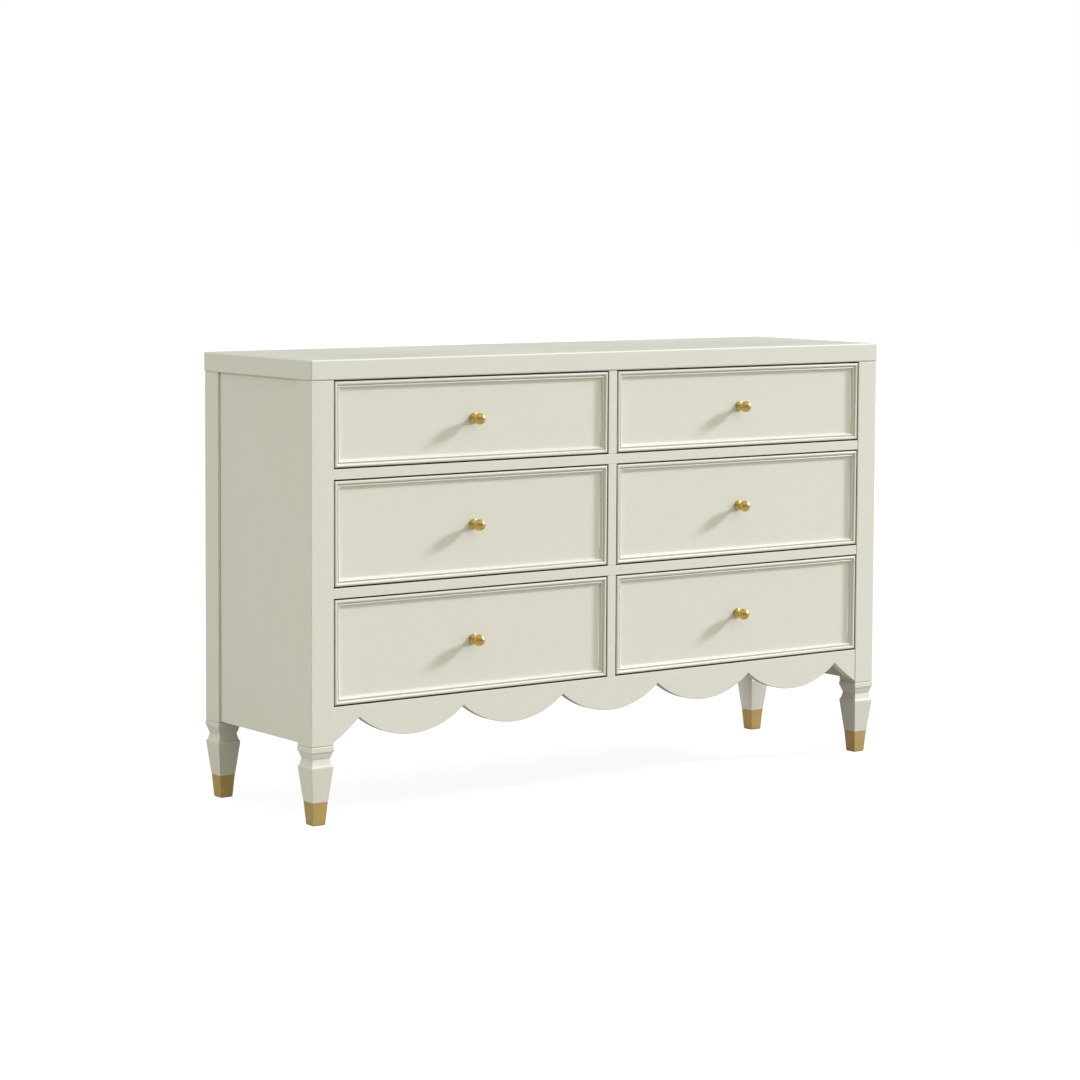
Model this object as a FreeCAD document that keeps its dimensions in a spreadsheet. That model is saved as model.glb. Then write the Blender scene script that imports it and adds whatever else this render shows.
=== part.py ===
import FreeCAD, Part
import os
import re

# A six-drawer dresser on square turned legs, in millimetres.
# The origin is on the floor, below the centre of the whole object's box.
# +Z is up, the drawers face -Y, and +X is to the right of a person facing them.

DIMENSIONS = {
    # cabinet
    "total_width": 1524, "total_height": 940, "total_depth": 420,
    "front_plane": -196.25, "top_thickness": 41, "top_overhang": 1.5, "top_rounding": 3.5,
    "post_size": 53.5, "post_easing": 1.5, "leg_height": 163, "frame_setback": 0.7,
    "rail_height": 21, "rail_depth": 22, "stile_width": 22, "drawer_gap": 3,
    "side_recess": 6, "side_thickness": 18, "side_bottom": 165,
    "back_thickness": 9, "back_recess": 3, "floor_thickness": 12, "floor_level": 222,
    "back_rail_depth": 20, "back_rail_height": 50, "back_rail_level": 172,
    # scalloped apron
    "apron_thickness": 20, "apron_top": 240, "scallop_width": 258, "scallop_radius": 202.2,
    "scallop_low": 168, "cusp_level": 214.5, "scallop_count": 5, "thin_edge": 0.5,
    # legs and the metal cups on their feet
    "collar_size": 54.5, "collar_edge_size": 51, "collar_level": 150, "collar_easing": 2,
    "neck_size": 42.2, "neck_level": 136.5, "cove_upper_radius": 22.9,
    "cove_lower_radius": 35.1, "cove_half_height": 13.5, "bead_step_size": 49.8,
    "bead_top_level": 121.8, "bead_mid_size": 52.2, "bead_mid_level": 119.5,
    "shoulder_size": 53, "shoulder_level": 116.5,
    "cup_height": 48, "leg_at_cup": 36.6, "cup_top_size": 35.8, "cup_low_size": 29.4,
    "cup_foot_size": 26, "cup_low_level": 8, "cup_wall": 1.4, "cup_base": 3,
    "bolt_radius": 4, "bolt_length": 90, "hole_clearance": 0.3,
    # drawers
    "upper_level": 723, "middle_level": 483, "lower_level": 243,
    "upper_height": 173, "middle_height": 213, "lower_height": 213,
    "front_thickness": 20, "front_rounding": 3.5, "moulding_lip": 13.5,
    "moulding_width": 20, "panel_recess": 8.5,
    "box_wall": 12, "box_depth": 350, "box_drop": 24, "box_rise": 14,
    "bottom_thickness": 6, "bottom_rise": 10, "groove_depth": 6,
    # knobs
    "ball_radius": 12.25, "ball_stand_off": 22.25, "neck_radius": 4.2, "rose_radius": 11,
    "rose_thickness": 2.6, "step_radius": 7.5, "step_thickness": 2,
    "screw_radius": 2, "head_radius": 4.5, "head_thickness": 2.4,
    # telescopic slides
    "slide_thickness": 12.7, "slide_start": 22, "slide_gauge": 1.2,
    "outer_height": 45.4, "outer_depth": 9.5,
    "middle_height_of_slide": 38, "middle_offset": 3.2, "middle_depth": 6,
    "inner_height": 31, "inner_depth": 3,
    "cut_margin": 1, "packer_height": 60, "cleat_height": 25, "top_screw_length": 50, "top_screw_radius": 2.25,
}

AXES = ("x", "y", "z")
ALONG_Y = FreeCAD.Rotation(FreeCAD.Vector(1, 0, 0), -90)
UPRIGHT_WEDGE = FreeCAD.Rotation(FreeCAD.Vector(1, 0, 0), 90)

doc = FreeCAD.newDocument("dresser")
sheet = doc.addObject("Spreadsheet::Sheet", "dim")
for row, (alias, value) in enumerate(DIMENSIONS.items(), start=1):
    sheet.set("A%d" % row, alias)
    sheet.set("B%d" % row, str(value))
    sheet.setAlias("B%d" % row, alias)
doc.recompute()

parts = []


def bind(item, prop, formula):
    """Binds a property to a formula written with the sheet's aliases."""
    item.setExpression(prop, re.sub(r"\b([a-z]+(?:_[a-z]+)+)\b", r"dim.\1", formula))


def settle(item, place):
    """Binds the three coordinates of an item's Placement."""
    for axis, formula in zip(AXES, place):
        bind(item, "Placement.Base." + axis, formula)


def board(name, place, size):
    """A box: place is its lowest corner."""
    item = doc.addObject("Part::Box", name)
    for prop, formula in zip(("Length", "Width", "Height"), size):
        bind(item, prop, formula)
    settle(item, place)
    return item


def rod(name, place, radius, length, turn=None):
    """A cylinder along +Z, or along +Y with turn=ALONG_Y."""
    item = doc.addObject("Part::Cylinder", name)
    if turn:
        item.Placement = FreeCAD.Placement(FreeCAD.Vector(), turn)
    bind(item, "Radius", radius)
    bind(item, "Height", length)
    settle(item, place)
    return item


def frustum(name, place, low_level, high_level, low_size, high_size):
    """A square upright frustum centred on place, which is an (x, y) pair."""
    item = doc.addObject("Part::Wedge", name)
    item.Placement = FreeCAD.Placement(FreeCAD.Vector(), UPRIGHT_WEDGE)
    for edge, size in (("Xmin", low_size), ("Zmin", low_size), ("X2min", high_size), ("Z2min", high_size)):
        bind(item, edge, "-(%s) / 2" % size)
    for edge, size in (("Xmax", low_size), ("Zmax", low_size), ("X2max", high_size), ("Z2max", high_size)):
        bind(item, edge, "(%s) / 2" % size)
    item.Ymin = 0
    bind(item, "Ymax", "(%s) - (%s)" % (high_level, low_level))
    settle(item, (place[0], place[1], low_level))
    return item


def fuse(name, members):
    item = doc.addObject("Part::MultiFuse", name)
    item.Shapes = members
    item.Refine = True
    return item


def cut(name, base, tools):
    item = doc.addObject("Part::Cut", name)
    item.Base = base
    item.Tool = group(name + "_tools", tools) if len(tools) > 1 else tools[0]
    item.Refine = False
    return item


def group(name, members):
    """Several separate solids in one sub-part."""
    item = doc.addObject("Part::Compound", name)
    item.Links = members
    return item


def ease(name, base, radius, wanted):
    """Rounds the edges of a base for which wanted(edge) is true."""
    doc.recompute()
    edges = [i for i, edge in enumerate(base.Shape.Edges, start=1) if wanted(edge)]
    amount = float(sheet.get(radius))
    item = doc.addObject("Part::Fillet", name)
    item.Base = base
    item.Edges = [(i, amount, amount) for i in edges]
    return item


def keep(label, item):
    """Marks an item as a sub-part and gives it its name."""
    item.Label = label
    parts.append(item)
    return item


def upright(edge):
    return abs(edge.tangentAt(edge.FirstParameter).z) > 0.99


# ---- frame ----------------------------------------------------------------

BACK_OF_POSTS = "front_plane + total_depth - 2 * top_overhang"
FRAME_FRONT = "front_plane + frame_setback"
UNDER_TOP = "total_height - top_thickness"
POST_OUTER = "(total_width / 2 - top_overhang)"
POST_INNER = "(total_width / 2 - top_overhang - post_size)"
POST_BACK_FRONT = "front_plane + total_depth - 2 * top_overhang - post_size"

CORNERS = {
    "front_left": ("-" + POST_OUTER, "front_plane"),
    "front_right": (POST_INNER, "front_plane"),
    "back_left": ("-" + POST_OUTER, POST_BACK_FRONT),
    "back_right": (POST_INNER, POST_BACK_FRONT),
}


def middle_of(corner):
    """The centre of a post, as an (x, y) pair of formulas."""
    return [formula + " + post_size / 2" for formula in CORNERS[corner]]


def bolt_hole(corner):
    low = "leg_height - bolt_length / 2 - hole_clearance"
    place = middle_of(corner) + [low]
    return rod(corner + "_bolt_hole", place, "bolt_radius + hole_clearance",
               "bolt_length + 2 * hole_clearance")


def post(corner):
    blank = board(corner + "_post_blank", CORNERS[corner] + ("leg_height",),
                  ("post_size", "post_size", UNDER_TOP + " - leg_height"))
    eased = ease(corner + "_post_eased", blank, "post_easing", upright)
    keep(corner + "_post", cut(corner + "_post", eased, [bolt_hole(corner)]))


def cove_size(radius, offset):
    """Width of the hollow neck at a distance from its narrowest level."""
    return "neck_size + 2 * (%s - sqrt(%s ^ 2 - (%s) ^ 2))" % (radius, radius, offset)


def cove_rings(corner, side, radius, direction, steps=5):
    """The hollow above (+1) or below (-1) the neck, as a run of short frusta."""
    rings = []
    for i in range(steps):
        near = "cove_half_height * %d / %d" % (i, steps)
        far = "cove_half_height * %d / %d" % (i + 1, steps)
        ends = [("neck_level + (%d) * %s" % (direction, offset), cove_size(radius, offset))
                for offset in (near, far)]
        low, high = ends[::direction]
        rings.append(frustum("%s_cove_%s_%d" % (corner, side, i), middle_of(corner),
                             low[0], high[0], low[1], high[1]))
    return rings


def leg(corner):
    tip_low = "cup_low_size - 2 * cup_wall"
    tip_high = "cup_top_size - 2 * cup_wall"
    steps = [
        ("tip", "cup_base", "cup_height", tip_low, tip_high),
        ("taper", "cup_height", "shoulder_level", "leg_at_cup", "shoulder_size"),
        ("bead", "shoulder_level", "bead_mid_level", "shoulder_size", "bead_mid_size"),
        ("bead_top", "bead_mid_level", "bead_top_level", "bead_mid_size", "bead_step_size"),
        ("quirk", "bead_top_level", "neck_level - cove_half_height",
         cove_size("cove_lower_radius", "cove_half_height"),
         cove_size("cove_lower_radius", "cove_half_height")),
        ("collar", "collar_level", "leg_height - collar_easing", "collar_size", "collar_size"),
        ("collar_top", "leg_height - collar_easing", "leg_height", "collar_size",
         "collar_edge_size"),
    ]
    solids = [frustum("%s_leg_%s" % (corner, name), middle_of(corner), low, high, bottom, top)
              for name, low, high, bottom, top in steps]
    solids += cove_rings(corner, "lower", "cove_lower_radius", -1)
    solids += cove_rings(corner, "upper", "cove_upper_radius", 1)
    turned = fuse(corner + "_leg_turned", solids)
    keep(corner + "_leg", cut(corner + "_leg", turned, [bolt_hole(corner)]))


def leg_cup(corner):
    """A hollow metal cup that the foot of the leg sits in."""
    outside = fuse(corner + "_cup_outside", [
        frustum(corner + "_cup_foot", middle_of(corner), "0", "cup_low_level",
                "cup_foot_size", "cup_low_size"),
        frustum(corner + "_cup_body", middle_of(corner), "cup_low_level", "cup_height",
                "cup_low_size", "cup_top_size")])
    inside = frustum(corner + "_cup_inside", middle_of(corner), "cup_base", "cup_height",
                     "cup_low_size - 2 * cup_wall", "cup_top_size - 2 * cup_wall")
    return cut(corner + "_cup", outside, [inside])


def leg_bolt(corner):
    place = middle_of(corner) + ["leg_height - bolt_length / 2"]
    return rod(corner + "_bolt", place, "bolt_radius", "bolt_length")


def side_panel(side, start):
    keep(side + "_side_panel", board(
        side + "_side_panel", (start, "front_plane + post_size", "side_bottom"),
        ("side_thickness", POST_BACK_FRONT + " - front_plane - post_size",
         UNDER_TOP + " - side_bottom")))


def between_posts(name, front, low, depth, height):
    """A board that runs from post to post."""
    return board(name, ("-" + POST_INNER, front, low), ("2 * " + POST_INNER, depth, height))


def rail_level(row):
    return row + "_level - drawer_gap - rail_height"


def face_rail(row, label):
    keep(label, between_posts(label, FRAME_FRONT, rail_level(row),
                              "rail_depth - frame_setback", "rail_height"))


def centre_stiles():
    """Short uprights butted between the rails, one beside each row of drawers."""
    stiles = []
    for row in ("lower", "middle", "upper"):
        low = row + "_level - drawer_gap"
        high = UNDER_TOP if row == "upper" else "%s_level + %s_height + drawer_gap" % (row, row)
        stiles.append(board(row + "_stile", ("-stile_width / 2", FRAME_FRONT, low),
                            ("stile_width", "rail_depth - frame_setback",
                             "%s - (%s)" % (high, low))))
    keep("centre_stiles", group("centre_stiles", stiles))


def apron():
    """A board with five round scallops and a half scallop at each end."""
    body = between_posts("apron_band", FRAME_FRONT, "cusp_level",
                         "apron_thickness - frame_setback", "apron_top - cusp_level")
    pieces = [body]
    middle = DIMENSIONS["scallop_count"] // 2
    for i in range(-middle, middle + 1):
        centre = "(%d) * scallop_width" % i
        disc = rod("scallop_disc_%d" % (i + middle), (centre, FRAME_FRONT, "scallop_low + scallop_radius"),
                   "scallop_radius", "apron_thickness - frame_setback", ALONG_Y)
        window = board("scallop_window_%d" % (i + middle),
                       (centre + " - scallop_width / 2", FRAME_FRONT, "scallop_low - cut_margin"),
                       ("scallop_width", "apron_thickness - frame_setback",
                        "cusp_level - scallop_low + cut_margin"))
        scallop = doc.addObject("Part::Common", "scallop_%d" % (i + middle))
        scallop.Base = disc
        scallop.Tool = window
        pieces.append(scallop)
    for side in (-1, 1):
        pieces.append(apron_end(side))
    keep("scalloped_apron", fuse("scalloped_apron", pieces))


def apron_end(side):
    """The half scallop between the last cusp and a post."""
    item = doc.addObject("Part::Wedge", "apron_end_%s" % ("left" if side < 0 else "right"))
    cusp = "(%d) * scallop_count / 2 * scallop_width" % side
    wall = "(%d) * %s" % (side, POST_INNER)
    low_x, high_x = (wall, cusp) if side < 0 else (cusp, wall)
    # The wedge's Y runs up: at its foot it has shrunk to a thin edge at the post.
    item.Placement = FreeCAD.Placement(FreeCAD.Vector(), UPRIGHT_WEDGE)
    item.Ymin = 0
    bind(item, "Ymax", "cusp_level - scallop_low")
    bind(item, "X2min", "%s" % low_x)
    bind(item, "X2max", "%s" % high_x)
    if side < 0:
        bind(item, "Xmin", wall)
        bind(item, "Xmax", wall + " + thin_edge")
    else:
        bind(item, "Xmin", wall + " - thin_edge")
        bind(item, "Xmax", wall)
    for prop in ("Zmin", "Z2min"):
        bind(item, prop, "-(apron_thickness - frame_setback)")
    for prop in ("Zmax", "Z2max"):
        bind(item, prop, "0")
    settle(item, ("0", FRAME_FRONT, "scallop_low"))
    return item


SIDE_OUTER = "(total_width / 2 - top_overhang - side_recess)"
SIDE_INNER = "(total_width / 2 - top_overhang - side_recess - side_thickness)"
PACKER_DEPTH = POST_BACK_FRONT + " - front_plane - post_size"


def side_strip(name, side, low, height):
    """A strip that fills a side panel's inner face out to the posts' inner faces."""
    start = "-" + SIDE_INNER if side < 0 else POST_INNER
    return board(name, (start, "front_plane + post_size", low),
                 (SIDE_INNER + " - " + POST_INNER, PACKER_DEPTH, height))


def slide_level(row):
    """The level of the middle of a row's slides."""
    return "%s_level + %s_height / 2" % (row, row)


def slide_packers():
    return [side_strip("%s_packer_%d" % (row, side + 1), side,
                       slide_level(row) + " - packer_height / 2", "packer_height")
            for row in ("lower", "middle", "upper") for side in (-1, 1)]


SCREW_PLACES = [(side, part) for side in (-1, 1) for part in (0.15, 0.5, 0.85)]


def top_screw_place(side, part):
    x = "(%d) * (%s + %s) / 2" % (side, SIDE_INNER, POST_INNER)
    y = "front_plane + post_size + %s * (%s)" % (part, PACKER_DEPTH)
    return x, y


def side_battens():
    """Packers for the slides, and the cleats and screws that hold the top down."""
    low = UNDER_TOP + " - cleat_height"
    holes = [rod("cleat_hole_%d" % i, top_screw_place(*place) + (low,),
                 "top_screw_radius + hole_clearance", "cleat_height")
             for i, place in enumerate(SCREW_PLACES)]
    cleats = []
    for side, side_holes in ((-1, holes[:3]), (1, holes[3:])):
        name = "left_cleat" if side < 0 else "right_cleat"
        strip = side_strip(name + "_blank", side, low, "cleat_height")
        cleats.append(cut(name, strip, side_holes))
    keep("side_battens", group("side_battens", slide_packers() + cleats))
    screws = [rod("top_screw_%d" % i, top_screw_place(*place) + (low,),
                  "top_screw_radius", "top_screw_length")
              for i, place in enumerate(SCREW_PLACES)]
    keep("top_screws", group("top_screws", screws))


def top_panel():
    blank = board("top_blank", ("-total_width / 2", "front_plane - top_overhang", UNDER_TOP),
                  ("total_width", "total_depth", "top_thickness"))
    rounded = ease("top_rounded", blank, "top_rounding", lambda edge: True)
    holes = [rod("top_hole_%d" % i, top_screw_place(*place) + (UNDER_TOP,),
                 "top_screw_radius + hole_clearance",
                 "top_screw_length - cleat_height + hole_clearance")
             for i, place in enumerate(SCREW_PLACES)]
    keep("top_panel", cut("top_panel", rounded, holes))


def carcass_boards():
    back_face = BACK_OF_POSTS + " - back_recess - back_thickness"
    back_rail_front = back_face + " - back_rail_depth"
    keep("back_panel", between_posts("back_panel", back_face, "back_rail_level",
                                     "back_thickness", UNDER_TOP + " - back_rail_level"))
    rails = [between_posts(name, back_rail_front, level, "back_rail_depth", "back_rail_height")
             for name, level in (("back_rail_high", UNDER_TOP + " - back_rail_height"),
                                 ("back_rail_low", "back_rail_level"))]
    keep("back_rails", group("back_rails", rails))
    inside = "front_plane + apron_thickness"
    keep("bottom_panel", between_posts("bottom_panel", inside, "floor_level",
                                       back_rail_front + " - (" + inside + ")",
                                       "floor_thickness"))
    partition_low = "floor_level + floor_thickness"
    partition_front = "front_plane + rail_depth"
    keep("centre_partition", board(
        "centre_partition", ("-stile_width / 2", partition_front, partition_low),
        ("stile_width", back_rail_front + " - (" + partition_front + ")",
         UNDER_TOP + " - (" + partition_low + ")")))


# ---- drawers --------------------------------------------------------------

SIDES = {"left": -1, "right": 1}
BAY_CENTRE = "(stile_width / 2 + %s) / 2" % POST_INNER
BAY_WIDTH = "(%s - stile_width / 2)" % POST_INNER
BOX_WIDTH = "(%s - 2 * slide_thickness)" % BAY_WIDTH


def bay_centre(side):
    return "(%d) * %s" % (SIDES[side], BAY_CENTRE)


def drawer_front(drawer, row, side, bottom):
    """The front: a raised moulding around a sunk flat panel, bored for its knob."""
    width = BAY_WIDTH + " - 2 * drawer_gap"
    left = "%s - (%s) / 2" % (bay_centre(side), width)
    level = row + "_level"
    height = row + "_height"
    blank = board(drawer + "_front_blank", (left, "front_plane", level),
                  (width, "front_thickness", height))
    doc.recompute()
    front_y = blank.Shape.BoundBox.YMin
    rounded = ease(drawer + "_front_rounded", blank, "front_rounding",
                   lambda edge: edge.BoundBox.YMax < front_y + 0.01)
    sunk = doc.addObject("Part::Wedge", drawer + "_front_sunk")
    for prop, inset in (("Xmin", "moulding_lip"), ("X2min", "moulding_width"),
                        ("Zmin", "moulding_lip"), ("Z2min", "moulding_width")):
        bind(sunk, prop, inset)
    for prop, whole, inset in (("Xmax", width, "moulding_lip"), ("X2max", width, "moulding_width"),
                               ("Zmax", height, "moulding_lip"), ("Z2max", height, "moulding_width")):
        bind(sunk, prop, "%s - %s" % (whole, inset))
    sunk.Ymin = 0
    bind(sunk, "Ymax", "panel_recess")
    settle(sunk, (left, "front_plane", level))
    hole = rod(drawer + "_knob_hole", (bay_centre(side), "front_plane", slide_level(row)),
               "screw_radius + hole_clearance", "front_thickness", ALONG_Y)
    keep(drawer + "_front", cut(drawer + "_front", rounded, [sunk, hole, bottom]))


def drawer_bottom(drawer, row, side):
    """A thin panel that reaches into grooves in the front, the sides and the back."""
    width = BOX_WIDTH + " - 2 * (box_wall - groove_depth)"
    start = "front_plane + front_thickness - groove_depth"
    depth = "box_depth - box_wall + 2 * groove_depth"
    return keep(drawer + "_bottom", board(
        drawer + "_bottom",
        ("%s - (%s) / 2" % (bay_centre(side), width), start,
         row + "_level + box_rise + bottom_rise"),
        (width, depth, "bottom_thickness")))


def drawer_box(drawer, row, side, bottom):
    """Two sides and a back, grooved for the bottom."""
    low = row + "_level + box_rise"
    high = row + "_height - box_rise - box_drop"
    left = "%s - %s / 2" % (bay_centre(side), BOX_WIDTH)
    start = "front_plane + front_thickness"
    blanks = {
        "left_side": ((left, start, low), ("box_wall", "box_depth", high)),
        "right_side": (("%s + %s - box_wall" % (left, BOX_WIDTH), start, low),
                       ("box_wall", "box_depth", high)),
        "back": (("%s + box_wall" % left, start + " + box_depth - box_wall", low),
                 (BOX_WIDTH + " - 2 * box_wall", "box_wall", high)),
    }
    walls = []
    for name, (place, size) in blanks.items():
        blank = board("%s_%s_blank" % (drawer, name), place, size)
        walls.append(cut("%s_%s" % (drawer, name), blank, [bottom]))
    keep(drawer + "_box", group(drawer + "_box", walls))


def knob(drawer, row, side):
    """A ball on a slim neck and a stepped rose, with the screw that holds it on."""
    x = bay_centre(side)
    z = slide_level(row)
    panel = "front_plane + panel_recess"
    ball = doc.addObject("Part::Sphere", drawer + "_ball")
    bind(ball, "Radius", "ball_radius")
    settle(ball, (x, panel + " - ball_stand_off", z))
    turned = fuse(drawer + "_knob_turned", [
        rod(drawer + "_rose", (x, panel + " - rose_thickness", z), "rose_radius",
            "rose_thickness", ALONG_Y),
        rod(drawer + "_step", (x, panel + " - rose_thickness - step_thickness", z),
            "step_radius", "step_thickness", ALONG_Y),
        rod(drawer + "_neck", (x, panel + " - ball_stand_off", z), "neck_radius",
            "ball_stand_off", ALONG_Y),
        ball])
    back = "front_plane + front_thickness"
    screw = fuse(drawer + "_screw", [
        rod(drawer + "_shank", (x, panel, z), "screw_radius",
            "front_thickness - panel_recess", ALONG_Y),
        rod(drawer + "_head", (x, back, z), "head_radius", "head_thickness", ALONG_Y)])
    keep(drawer + "_knob", group(drawer + "_knob", [turned, screw]))


def channel(name, wall, direction, level, height, offset, depth, web_first):
    """A C-shaped rail: wall is the face it counts from, direction is +1 or -1 from it."""
    def span(start, length):
        if direction > 0:
            return "%s + (%s)" % (wall, start)
        return "%s - (%s) - (%s)" % (wall, start, length)
    inner_start = "%s + slide_gauge" % offset if web_first else offset + " - cut_margin"
    inner_depth = "%s - slide_gauge + cut_margin" % depth
    front = "front_plane + slide_start"
    solid = board(name + "_blank", (span(offset, depth), front, "%s - %s / 2" % (level, height)),
                  (depth, "box_depth", height))
    hollow = board(name + "_hollow",
                   (span(inner_start, inner_depth), front + " - cut_margin",
                    "%s - %s / 2 + slide_gauge" % (level, height)),
                   (inner_depth, "box_depth + 2 * cut_margin", "%s - 2 * slide_gauge" % height))
    return cut(name, solid, [hollow])


def slides(drawer, row, side):
    """The three nested members of the slide on each side of a drawer."""
    middle = bay_centre(side)
    faces = {"near": ("%s - %s / 2" % (middle, BAY_WIDTH), 1),
             "far": ("%s + %s / 2" % (middle, BAY_WIDTH), -1)}
    members = {"outer": [], "middle": [], "inner": []}
    for face, (wall, direction) in faces.items():
        name = "%s_%s" % (drawer, face)
        level = slide_level(row)
        members["outer"].append(channel(name + "_outer", wall, direction, level, "outer_height",
                                        "0", "outer_depth", True))
        members["middle"].append(channel(name + "_middle", wall, direction, level,
                                         "middle_height_of_slide", "middle_offset",
                                         "middle_depth", True))
        members["inner"].append(channel(name + "_inner", wall, direction, level, "inner_height",
                                        "slide_thickness - inner_depth", "inner_depth", False))
    keep(drawer + "_slide_middles", group(drawer + "_slide_middles", members["middle"]))
    keep(drawer + "_slide_inners", group(drawer + "_slide_inners", members["inner"]))
    return members["outer"]


def drawer(row, side):
    name = "%s_%s" % (row, side)
    bottom = drawer_bottom(name, row, side)
    drawer_front(name, row, side, bottom)
    drawer_box(name, row, side, bottom)
    knob(name, row, side)
    return slides(name, row, side)


# ---- the whole dresser ------------------------------------------------------

for corner_name in CORNERS:
    post(corner_name)
    leg(corner_name)
keep("leg_cups", group("leg_cups", [leg_cup(name) for name in CORNERS]))
keep("leg_bolts", group("leg_bolts", [leg_bolt(name) for name in CORNERS]))
side_panel("left", "-" + SIDE_OUTER)
side_panel("right", SIDE_INNER)
face_rail("upper", "upper_rail")
face_rail("middle", "lower_rail")
centre_stiles()
apron()
carcass_boards()
side_battens()
top_panel()
cabinet_members = []
for row_name in ("upper", "middle", "lower"):
    for side_name in SIDES:
        cabinet_members += drawer(row_name, side_name)
keep("cabinet_slide_members", group("cabinet_slide_members", cabinet_members))

doc.recompute()
for item in doc.Objects:
    if "Invalid" in item.State or "Error" in item.State:
        raise RuntimeError("%s failed: %s" % (item.Name, item.State))
os.makedirs("parts", exist_ok=True)
for item in parts:
    shape = item.Shape
    if shape.isNull() or not shape.isValid():
        raise RuntimeError("%s has no valid shape" % item.Label)
    shape.exportStep("parts/%s.step" % item.Label)
print("%d sub-parts" % len(parts))
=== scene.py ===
import math

import bmesh
import bpy
from mathutils import Matrix, Vector


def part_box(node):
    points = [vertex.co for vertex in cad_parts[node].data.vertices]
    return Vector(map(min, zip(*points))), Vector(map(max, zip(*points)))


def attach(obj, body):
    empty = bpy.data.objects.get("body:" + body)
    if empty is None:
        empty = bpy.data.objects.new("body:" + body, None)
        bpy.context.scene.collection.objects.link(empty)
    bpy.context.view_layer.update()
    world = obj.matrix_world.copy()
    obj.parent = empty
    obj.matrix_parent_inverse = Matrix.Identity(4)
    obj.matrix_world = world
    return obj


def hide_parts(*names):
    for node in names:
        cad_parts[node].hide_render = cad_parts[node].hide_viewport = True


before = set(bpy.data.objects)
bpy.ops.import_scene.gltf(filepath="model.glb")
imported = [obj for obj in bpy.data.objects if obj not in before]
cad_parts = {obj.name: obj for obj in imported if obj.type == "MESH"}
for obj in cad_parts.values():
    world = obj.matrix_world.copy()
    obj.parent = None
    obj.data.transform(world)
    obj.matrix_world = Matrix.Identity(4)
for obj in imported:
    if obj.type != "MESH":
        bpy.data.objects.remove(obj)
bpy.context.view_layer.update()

# ---- Painted top ------------------------------------------------------------
# A thick slab of medium-density board with a solid lipping, sprayed in a warm
# off-white satin lacquer. All of its edges are rounded over by hand sanding, and
# it is screwed down from below.


def new_effect(name, inputs, outputs):
    """A shader node group: inputs are (name, kind, value), outputs are (name, kind)."""
    effect = bpy.data.node_groups.new(name, "ShaderNodeTree")
    for label, kind, value in inputs:
        socket = effect.interface.new_socket(label, in_out="INPUT", socket_type=kind)
        socket.default_value = value
    for label, kind in outputs:
        effect.interface.new_socket(label, in_out="OUTPUT", socket_type=kind)
    return effect, effect.nodes.new("NodeGroupInput"), effect.nodes.new("NodeGroupOutput")


def add_node(tree, kind, settings=None, values=None):
    """A node with its settings and the values of its unlinked sockets."""
    node = tree.nodes.new(kind)
    for key, value in (settings or {}).items():
        setattr(node, key, value)
    for key, value in (values or {}).items():
        node.inputs[key].default_value = value
    return node


def mix_painted_shade(effect, color):
    """Painted shade: mixes a warm dark tone into a colour where ambient occlusion finds narrow joints,
    quirks and corners.
    """
    crevice = add_node(effect, "ShaderNodeAmbientOcclusion", {"samples": 6}, {"Distance": 0.011})
    open_face = add_node(effect, "ShaderNodeMapRange", None,
                         {"From Min": 0.06, "From Max": 0.42, "To Min": 0.03, "To Max": 1.0})
    effect.links.new(crevice.outputs["AO"], open_face.inputs["Value"])
    # The warm dark tone is painted shade for gaps, joints and quirks, not dirt.
    shaded_in_joints = add_node(effect, "ShaderNodeMix", {"data_type": "RGBA"}, {"A": (0.12, 0.085, 0.02, 1)})
    effect.links.new(open_face.outputs["Result"], shaded_in_joints.inputs["Factor"])
    effect.links.new(color, shaded_in_joints.inputs["B"])
    return shaded_in_joints.outputs["Result"]


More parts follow.
